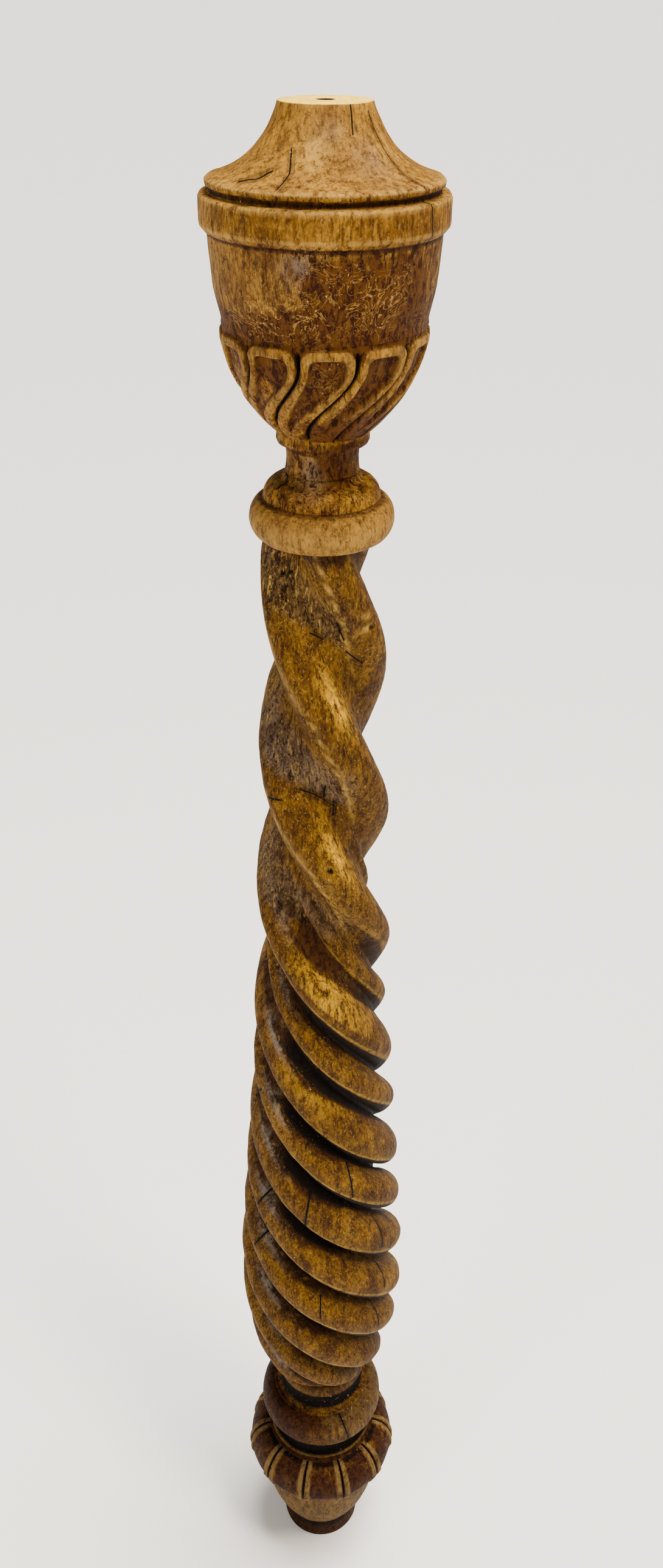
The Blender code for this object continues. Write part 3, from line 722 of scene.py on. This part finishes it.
TOP = 1.3000
URN_FOOT, URN_SHOULDER, WALL_TOP = 1.1262, 1.1880, 1.2364
head_profile = np.concatenate([
    np.array([[0.0300, 1.0603], [0.0362, 1.0606]]),
    quarter((0.0362, 1.0606), (0.0446, 1.0722), False, 0.0013),
    quarter((0.0446, 1.0722), (0.0363, 1.0845), True, 0.0013),
    straight((0.0363, 1.0845), (0.0357, 1.0862), 0.0008),
    quarter((0.0357, 1.0862), (0.0259, 1.0966), True, 0.0015),
    quarter((0.0259, 1.0966), (0.0217, 1.1110), False, 0.0019),
    straight((0.0217, 1.1110), (0.0225, 1.1185), 0.0019),
    straight((0.0225, 1.1185), (0.0273, 1.1196), 0.0010),
    straight((0.0273, 1.1196), (0.0281, 1.1215), 0.0010),
    straight((0.0281, 1.1215), (0.0279, 1.1260), 0.0012),
    straight((0.0279, 1.1260), (0.0287, 1.1268), 0.0006),
    bowed((0.0287, 1.1268), (0.0600, 1.1800), 0.0052, 0.0008),
    straight((0.0600, 1.1800), (0.0600, URN_SHOULDER), 0.0007),
    bowed((0.0600, URN_SHOULDER), (0.0650, WALL_TOP), 0.0006, 0.0024),
    straight((0.0650, WALL_TOP), (0.0664, 1.2372), 0.0008),
    straight((0.0664, 1.2372), (0.0688, 1.2400), 0.0009),
    straight((0.0688, 1.2400), (0.0691, 1.2422), 0.0010),
    straight((0.0691, 1.2422), (0.0690, 1.2540), 0.0020),
    straight((0.0690, 1.2540), (0.0682, 1.2556), 0.0008),
    straight((0.0682, 1.2556), (0.0632, 1.2562), 0.0012),
    straight((0.0632, 1.2562), (0.0630, 1.2590), 0.0009),
    straight((0.0630, 1.2590), (0.0650, 1.2600), 0.0008),
    straight((0.0650, 1.2600), (0.0653, 1.2622), 0.0008),
    straight((0.0653, 1.2622), (0.0638, 1.2636), 0.0007),
    bowed((0.0638, 1.2636), (0.0256, 1.2996), -0.0072, 0.0019),
    straight((0.0256, 1.2996), (0.0250, TOP), 0.0005),
    straight((0.0250, TOP), (0.0056, TOP), 0.0034),
    straight((0.0056, TOP), (0.0044, TOP), 0.0006),
    straight((0.0044, TOP), (0.0037, 1.2994), 0.0007),
    straight((0.0037, 1.2994), (0.0036, 1.2880), 0.0020),
])
HALF_LOOP = np.array([
    0.0, 0.012, 0.025, 0.038, 0.052, 0.070, 0.095, 0.125, 0.150,
    0.168, 0.185, 0.202, 0.225, 0.260, 0.310, 0.370, 0.435,
])
loop_shares = np.concatenate([HALF_LOOP, [0.5], 1.0 - HALF_LOOP[:0:-1]])
head_share = np.tile(loop_shares, GADROONS)
head_radius, head_height = head_profile[:, :1], head_profile[:, 1:]
head_loop = np.repeat(np.arange(GADROONS), len(loop_shares))
SWEEP, SWEEP_TOP, SWEEP_LENGTH = 36.0, 1.1740, 0.0500
sweep = -SWEEP * eased((SWEEP_TOP - head_height) / SWEEP_LENGTH) * (head_height > 1.1000)
head_angle = GADROON_START + sweep + (head_loop + head_share) * 360.0 / GADROONS
head_around = facing(head_angle)

# A loop is a rounded plate between two grooves: outside is the distance from its outline, minus within it.
across = (head_share - 0.5) * 2.0 * np.pi * head_radius / GADROONS
half_pitch = np.pi * head_radius / GADROONS
LOOP_TOP, CORNER = 1.1850, 0.0075
side_gap = 0.0008 + 0.0006 * eased((head_height - 1.165) / 0.015)
edge_x = np.abs(across) - (half_pitch - side_gap)
edge_y = head_height - LOOP_TOP
corner_x = np.maximum(edge_x + CORNER, 0.0)
corner_y = np.maximum(edge_y + CORNER, 0.0)
outside = np.hypot(corner_x, corner_y) - CORNER + np.minimum(np.maximum(edge_x, edge_y) + CORNER, 0.0)
on_loop = eased(0.5 - outside / 0.0012) * (head_height > URN_FOOT)
in_urn = (head_height > URN_FOOT) * (head_height < URN_SHOULDER)
groove_near = np.maximum(half_pitch - np.abs(across), 0.0)
groove_form = in_urn * bell(groove_near, 0.0, 0.0013) * eased((LOOP_TOP + 0.001 - head_height) / 0.006)
wall_step = in_urn * (1.0 - on_loop) * eased((head_height - 1.1700) / 0.008)

# The pocket in each loop is a sunk, pointed field with round upper corners and a soft rim.
POCKET_TOP, POCKET_POINT, POCKET_CORNER, POCKET_EDGE = 1.1795, 1.1340, 0.004, 0.0052
pocket_rise = np.clip((head_height - POCKET_POINT) / (POCKET_TOP - POCKET_POINT), 0.0, 1.0)
pocket_half = (half_pitch - side_gap - POCKET_EDGE) * np.clip(pocket_rise * 1.45, 0.0, 1.0) ** 0.75
pocket_x = np.abs(across) - pocket_half + POCKET_CORNER
pocket_y = head_height - POCKET_TOP + POCKET_CORNER
pocket_side = np.hypot(np.maximum(pocket_x, 0.0), np.maximum(pocket_y, 0.0)) - POCKET_CORNER
pocket_side = pocket_side + np.minimum(np.maximum(pocket_x, pocket_y), 0.0)
in_pocket = eased(0.5 - pocket_side / 0.0018) * (head_height > POCKET_POINT) * in_urn
pocket_rim = bell(pocket_side, -0.0008, 0.0011) * (head_height > POCKET_POINT) * in_urn

GROOVE_DEPTH, STEP_DEPTH, POCKET_DEPTH = 0.0036, 0.0017, 0.0029
head_relief = -GROOVE_DEPTH * groove_form - STEP_DEPTH * wall_step
head_relief = head_relief - POCKET_DEPTH * in_pocket * (0.8 + 0.2 * pocket_rise)
above_loops = belt(head_height, 1.1872, 1.2100, 0.0015, 0.0220)
head_relief = head_relief - STEP_DEPTH * above_loops
head_plain = on_grid(head_radius, head_angle, head_height + 0.0 * head_share)
head_flat = (head_height > 1.2995) | (head_height < 1.0610)
head_relief += 0.00022 * unevenness(head_plain, 0.014, 31) + 0.00010 * unevenness(head_plain, 0.004, 32)

HEAD_CHECKS = [
    ([(29.6, 1.2996), (29.1, 1.2947), (26.8, 1.2880)], 0.0004),
    ([(55.5, 1.2939), (55.5, 1.2816), (54.0, 1.2744), (52.7, 1.2673), (52.5, 1.2640)], 0.0003),
    ([(-27.6, 1.2786), (-22.0, 1.2700), (-23.0, 1.2660)], 0.0004),
    ([(-48.0, 1.2658), (-42.4, 1.2677), (-36.5, 1.2696)], 0.0004),
    ([(53.1, 1.2549), (53.7, 1.2467), (54.5, 1.2372)], 0.0005),
    ([(-60.5, 1.0990), (-58.0, 1.0966)], 0.0006),
]
head_crack_side, head_crack = crack_marks(head_angle, head_plain[..., 2], head_radius, HEAD_CHECKS)
CAP_GOUGE_DEPTH = 0.0014
gouge_mark = patch(head_angle, head_height, -41.5, 1.2680, 5.5, 0.0016)
head_relief -= CAP_GOUGE_DEPTH * gouge_mark
head_relief = np.where(head_flat, 0.0, head_relief)

head_normal = profile_normals(head_profile)
head_points = on_grid(
    head_radius + head_relief * head_normal[:, :1],
    head_angle,
    head_height + head_relief * head_normal[:, 1:],
)

# The right side is stained red. Dirt and painted shade darken the wood under the rims, in the pockets and
# round their rims, on the step and the sunk band above the loops and in the grooves round the neck, which is
# also stained; the urn grows darker towards its foot.
RED_MOTTLES = [
    (1.0, 2.0, 1.2190, 13.0, 0.0100),
    (1.0, 20.0, 1.2030, 16.0, 0.0090),
    (1.0, 38.0, 1.2180, 14.0, 0.0130),
    (0.6, -10.0, 1.2000, 14.0, 0.0070),
]
CAP_BROWNS = [(1.0, -38.0, 1.2830, 9.0, 0.0090), (0.8, 50.0, 1.2760, 6.0, 0.0130)]
CAP_GREYS = [(1.0, 4.0, 1.2900, 14.0, 0.0070), (1.0, 34.0, 1.2760, 14.0, 0.0080)]
rim_gap = tent(head_height, 1.2578, 0.0028) + tent(head_height, 1.2362, 0.0022)
wall = belt(head_height, 1.186, WALL_TOP, 0.004, 0.004)
collar_gap = tent(head_height, 1.1180, 0.0030) + tent(head_height, 1.0846, 0.0018)
red_side = eased((np.cos(np.radians(head_angle - 45.0)) - 0.15) / 0.7)
red_mottles = patches(head_angle, head_height, RED_MOTTLES)
cap_brown = patches(head_angle, head_height, CAP_BROWNS)
cap_grey = patches(head_angle, head_height, CAP_GREYS)
grey_patch = patch(head_angle, head_height, -12.0, 1.2275, 8.0, 0.0075)
neck_grey = patch(head_angle, head_height, -14.0, 1.1060, 22.0, 0.0110)
neck_red = patch(head_angle, head_height, 38.0, 1.1120, 34.0, 0.0120)
head_stain_and_shade = np.clip(
    0.55 * in_pocket * eased((head_height - 1.1550) / 0.0220) * (0.35 + 0.65 * red_side)
    + 0.42 * in_pocket
    + 0.70 * pocket_rim
    + 0.9 * wall_step
    + 0.9 * above_loops
    + 0.56 * wall * np.clip(red_mottles, 0.0, 1.0)
    + 0.28 * wall * red_side
    + 0.20 * wall
    + 0.25 * in_urn * red_side
    + 0.9 * rim_gap
    + 0.8 * collar_gap
    + 0.95 * neck_red
    + 0.30 * belt(head_height, 1.0870, 1.1270, 0.004, 0.004)
    + 0.45 * cap_brown
    + (0.22 + 0.30 * red_side) * in_urn * eased((1.157 - head_height) / 0.022),
    0.0,
    1.0,
)
ring_groove = bell(head_height, 1.0852, 0.0010)
# Black in the grooves between the loops, under the cap's rim and the band, round the pockets, in the gouge
# and in the ring's groove: painted shade, with dirt.
head_black = np.clip(
    1.05 * groove_form + 0.60 * rim_gap + 0.25 * gouge_mark + 0.42 * pocket_rim + 0.50 * ring_groove,
    0.0,
    1.0,
)

# The fillets round the pockets, the band's edges, the cap and the ring are rubbed paler.
loop_fillet = on_loop * in_urn * (1.0 - in_pocket) * (1.0 - groove_form)
loop_fillet = loop_fillet * eased((head_height - 1.1380) / 0.022)
cap = eased((head_height - 1.262) / 0.002)
band_edges = sum(bell(head_height, edge, 0.0011) for edge in (1.2405, 1.2548, 1.2628))
left_side = eased((0.0 - head_around) / 30.0) * eased((head_around + 170.0) / 40.0)
band = belt(head_height, 1.2380, 1.2560, 0.002, 0.002)
ring_face = eased((1.0852 - head_height) / 0.0012)
right_scribbles = wall * patch(head_angle, head_height, 26.0, 1.2060, 16.0, 0.0120)
cap_scuff = patch(head_angle, head_height, -10.0, 1.2800, 12.0, 0.0090)
ring_top = bell(head_height, 1.0722, 0.006)
head_wear = np.clip(
    0.26 * loop_fillet
    + 0.6 * band_edges
    + 0.15 * cap
    + 0.5 * cap_scuff
    + 0.25 * ring_top
    + 0.15 * ring_face,
    0.0,
    1.0,
)
head_dust = 0.9 * grey_patch + 0.8 * neck_grey + 0.10 * wall + 0.06 * ring_face + 0.45 * cap_grey
left_low_wall = wall * patch(head_angle, head_height, -30.0, 1.2010, 26.0, 0.0110)
scribbled = 0.65 * left_low_wall + 0.38 * right_scribbles + 0.30 * ring_top + 0.05 * wall

# The new wood of the sawn face stops a little short of the hole. Its lip is dirty, and its wall is darkened
# by dirt and painted shade.
SAWN_FROM, DARKENED_TO, BLACK_TO = 0.0052, 0.0054, 0.0047
sawn = (head_height > TOP - 0.00015) * (head_radius > SAWN_FROM)
head = carved_skin("urn_and_cap", head_points, {
    "stain_and_shade": np.clip(head_stain_and_shade + 1.0 * (head_radius < DARKENED_TO), 0.0, 1.0),
    "wear": head_wear,
    "black": np.clip(head_black + 0.6 * (head_radius < BLACK_TO), 0.0, 1.0),
    "dust_and_sheen": np.clip(head_dust, 0.0, 1.0),
    "gold_and_light": 0.12 * cap,
    "sawn": sawn.astype(float),
    "scratched": np.clip(scribbled, 0.0, 1.0),
    "rubbed": np.clip(0.70 * cap + 0.60 * band + 0.45 * wall * left_side + 0.55 * ring_face, 0.0, 1.0),
    "crack": head_crack,
    "crack_side": head_crack_side,
})
head.data.materials.append(old_wood(
    "pale_weathered_wood",
    light=(0.255, 0.122, 0.0085),
    dark=(0.070, 0.0240, 0.0014),
    stain_and_shade=(0.0230, 0.0036, 0.0003),
    wear=(0.390, 0.225, 0.050),
))
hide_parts("column")
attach(head, "root")

# The floor under the column is one plain, dull, pale sheet of paper.
# It is flat and lies at height 0, and is so large that its edge lies at the horizon.

FLOOR_REACH = 90.0
PAPER_WHITE = (0.92, 0.905, 0.885, 1.0)
floor_mesh = bpy.data.meshes.new("studio_floor")
floor_mesh.from_pydata(
    [(x * FLOOR_REACH, y * FLOOR_REACH, 0.0) for x, y in ((-1, -1), (1, -1), (1, 1), (-1, 1))],
    [],
    [(0, 1, 2, 3)],
)
paper = bpy.data.materials.new("pale_paper")
paper.use_nodes = True
paper.node_tree.nodes["Principled BSDF"].inputs["Base Color"].default_value = PAPER_WHITE
paper.node_tree.nodes["Principled BSDF"].inputs["Roughness"].default_value = 0.9
floor_mesh.materials.append(paper)
floor = bpy.data.objects.new("studio_floor", floor_mesh)
bpy.context.scene.collection.objects.link(floor)

# The light is soft: daylight from nearly straight above, a lamp above on the right, a weaker one from the
# left, and a pale room all round.


def soft_lamp(name, place, aim, size, power, colour):
    """A square lamp at a place, turned to face a point."""
    lamp = bpy.data.lights.new(name, "AREA")
    lamp.size = size
    lamp.energy = power
    lamp.color = colour
    holder = bpy.data.objects.new(name, lamp)
    holder.location = place
    way = np.array(place) - np.array(aim)
    flat = math.hypot(way[0], way[1])
    holder.rotation_euler = (math.atan2(flat, way[2]), 0.0, math.atan2(way[0], -way[1]))
    bpy.context.scene.collection.objects.link(holder)


soft_lamp(
    "key_lamp", place=(0.9, -0.8, 3.1), aim=(0.0, 0.0, 0.6), size=0.5, power=88.0, colour=(1.0, 0.88, 0.72)
)
soft_lamp(
    "fill_lamp", place=(-1.6, -1.6, 1.9), aim=(0.0, 0.0, 0.7), size=0.9, power=30.0, colour=(1.0, 0.94, 0.84)
)
WARM_WHITE = (1.0, 0.95, 0.88)
daylight = bpy.data.lights.new("daylight", "SUN")
daylight.energy = 7.0
daylight.angle = math.radians(30.0)
daylight.color = WARM_WHITE
sky = bpy.data.objects.new("daylight", daylight)
sky.rotation_euler = (math.radians(-4.0), math.radians(9.0), 0.0)
bpy.context.scene.collection.objects.link(sky)
room = bpy.data.worlds.new("pale_room")
room.use_nodes = True
room.node_tree.nodes["Background"].inputs["Color"].default_value = WARM_WHITE + (1.0,)
room.node_tree.nodes["Background"].inputs["Strength"].default_value = 0.32
bpy.context.scene.world = room

# The camera looks down on the column from eye level, close by, as the photograph does.
# Its lens has a focal length of 2200 pixels of a picture that is 2576 pixels high.

CAMERA_PLACE = (0.0, -0.7828, 1.3687)
PITCH, YAW, ROLL = math.radians(32.1), math.radians(0.417), math.radians(0.412)
SENSOR_HEIGHT, FOCAL_PIXELS, PICTURE_PIXELS = 36.0, 2200.0, 2576.0
camera = bpy.data.cameras.new("camera")
camera.sensor_fit = "VERTICAL"
camera.sensor_height = SENSOR_HEIGHT
camera.lens = SENSOR_HEIGHT * FOCAL_PIXELS / PICTURE_PIXELS
camera.clip_start = 0.05
ahead = np.array([math.sin(YAW) * math.cos(PITCH), math.cos(YAW) * math.cos(PITCH), -math.sin(PITCH)])
right = np.array([math.cos(YAW), -math.sin(YAW), 0.0])
up = np.cross(right, ahead)
rolled_right = math.cos(ROLL) * right + math.sin(ROLL) * up
rolled_up = -math.sin(ROLL) * right + math.cos(ROLL) * up
stand_point = bpy.data.objects.new("camera", camera)
view = np.eye(4)
view[:3, 0], view[:3, 1], view[:3, 2] = rolled_right, rolled_up, -ahead
view[:3, 3] = CAMERA_PLACE
stand_point.matrix_world = mathutils.Matrix(view.tolist())
bpy.context.scene.collection.objects.link(stand_point)
bpy.context.scene.camera = stand_point
